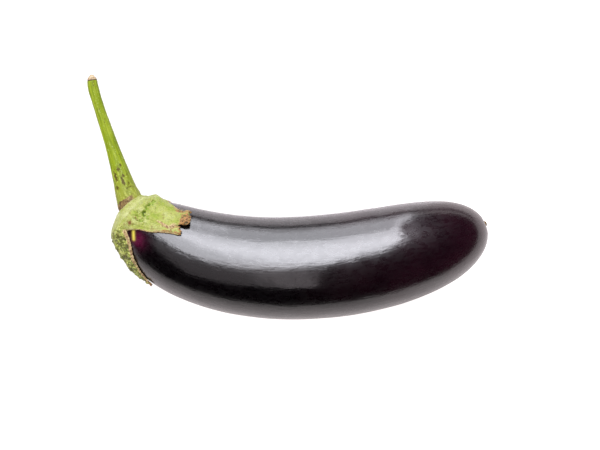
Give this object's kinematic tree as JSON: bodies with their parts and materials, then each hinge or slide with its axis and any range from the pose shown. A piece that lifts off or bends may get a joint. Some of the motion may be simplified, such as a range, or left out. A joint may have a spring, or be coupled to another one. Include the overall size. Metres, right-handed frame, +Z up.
{
  "type": "eggplant",
  "caption": "Long, slightly curved eggplant lying on its side, with its green calyx, bent stem and dry blossom scar.",
  "frame": {"origin": "middle of the small flat spot on the fruit's underside, at ground level", "axes": "+X along the length to the blossom end, +Y to the side the stem bends to, +Z up"},
  "size_m": [0.2401, 0.1465, 0.0604],
  "materials": {
    "skin": "glossy black-purple waxy skin",
    "calyx": "matt, warty pale green with dry brown tips",
    "stem": "satin yellow-green with a dry cut end",
    "scar": "dry, matt brown"
  },
  "bodies": {
    "root": {"fruit": "skin", "calyx": "calyx", "stem": "stem", "blossom_scar": "scar"}
  },
  "joints": []
}
